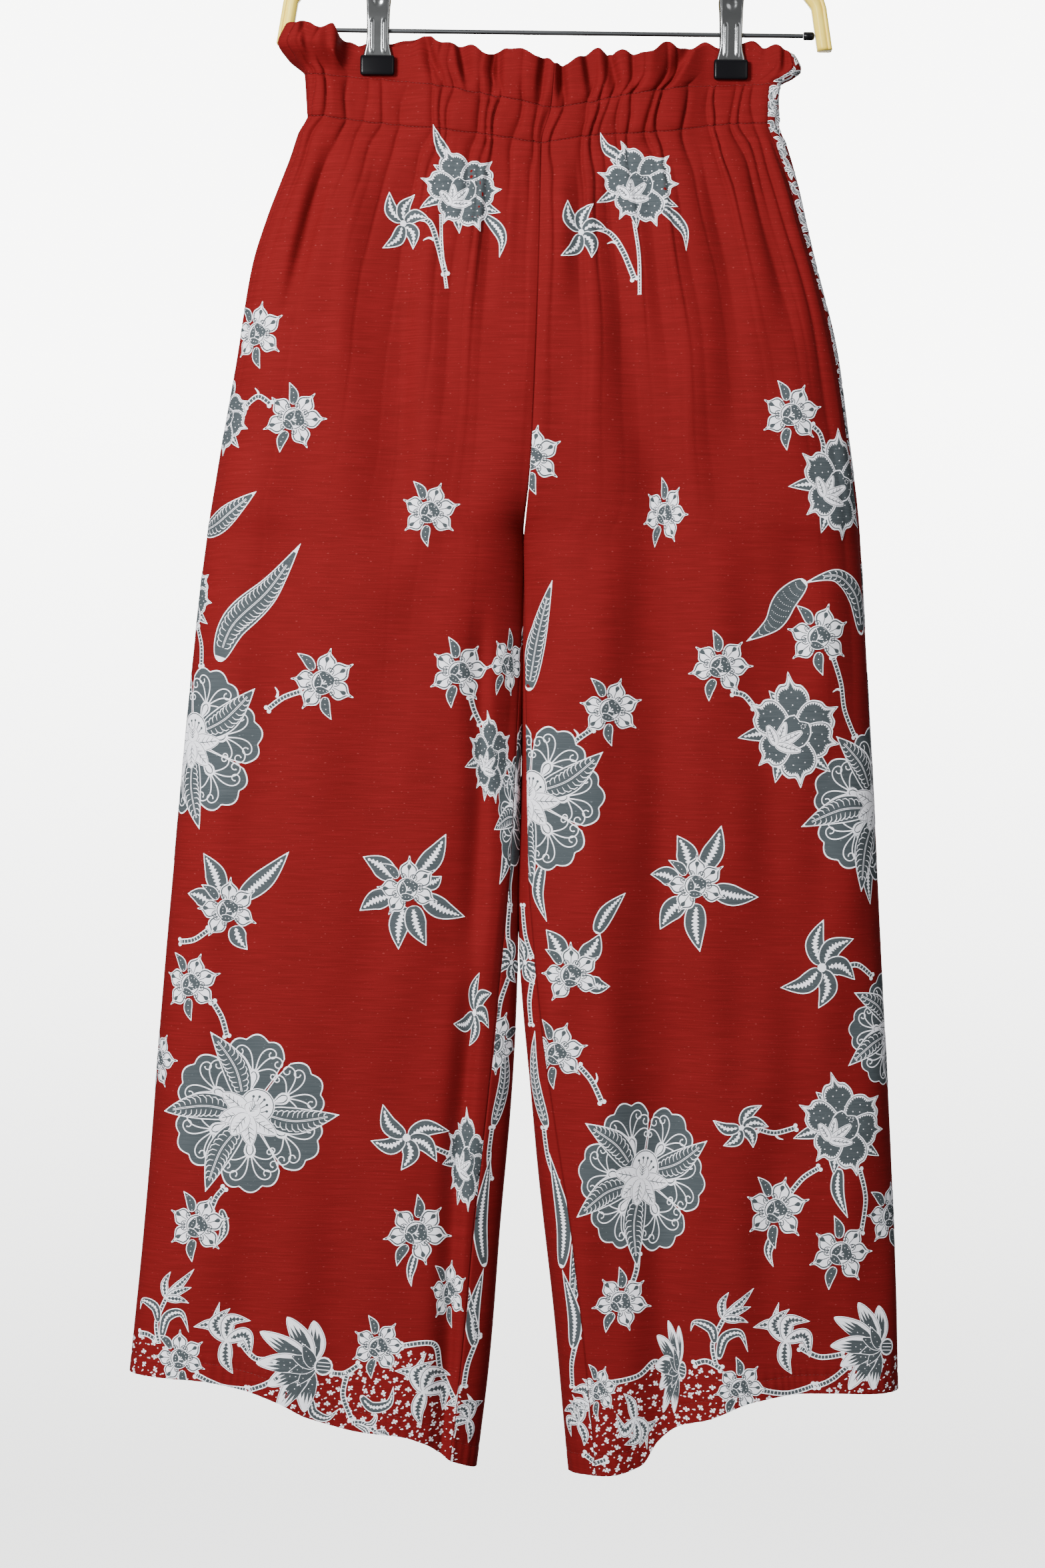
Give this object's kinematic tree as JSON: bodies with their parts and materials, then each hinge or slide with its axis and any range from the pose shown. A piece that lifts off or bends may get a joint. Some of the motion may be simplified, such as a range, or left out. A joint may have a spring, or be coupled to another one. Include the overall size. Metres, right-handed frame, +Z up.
{
  "type": "lounge pants on a clip hanger",
  "caption": "Wide-leg lounge pants with an elastic paper-bag waist, hung by the two clips of a wooden hanger.",
  "frame": {"origin": "where the inside of the hanger's hook bears on the rail it hangs on", "axes": "+Z up; the front of the garment faces -Y; +X towards the wearer's left leg, which is the picture's right"},
  "size_m": [0.5919, 0.0743, 1.2909],
  "materials": {
    "cloth": "fine plain-weave cotton, crimson, matt, with a floral print in white and grey",
    "print_white": "the undyed white of the resist-printed motifs",
    "print_grey": "grey-green overprint lines and fillings of the motifs",
    "thread": "red sewing thread",
    "wood": "pale lacquered beech with a dark groove line",
    "steel": "bright chromed steel",
    "rubber": "glossy black vinyl"
  },
  "bodies": {
    "root": {"right_front_leg": "cloth", "right_front_casing": "cloth", "right_front_ruffle": "cloth", "right_back_leg": "cloth", "right_back_casing": "cloth", "right_back_ruffle": "cloth", "left_front_leg": "cloth", "left_front_casing": "cloth", "left_front_ruffle": "cloth", "left_back_leg": "cloth", "left_back_casing": "cloth", "left_back_ruffle": "cloth", "hanger_bow": "wood", "hanger_hook": "steel", "hanger_rod": "steel", "right_rod_cap": "rubber", "left_rod_cap": "rubber", "right_clip_sleeve": "steel", "left_clip_sleeve": "steel", "right_clip_front_plate": "steel", "right_clip_back_plate": "steel", "left_clip_front_plate": "steel", "left_clip_back_plate": "steel", "right_clip_front_pad": "rubber", "right_clip_back_pad": "rubber", "left_clip_front_pad": "rubber", "left_clip_back_pad": "rubber"}
  },
  "joints": []
}
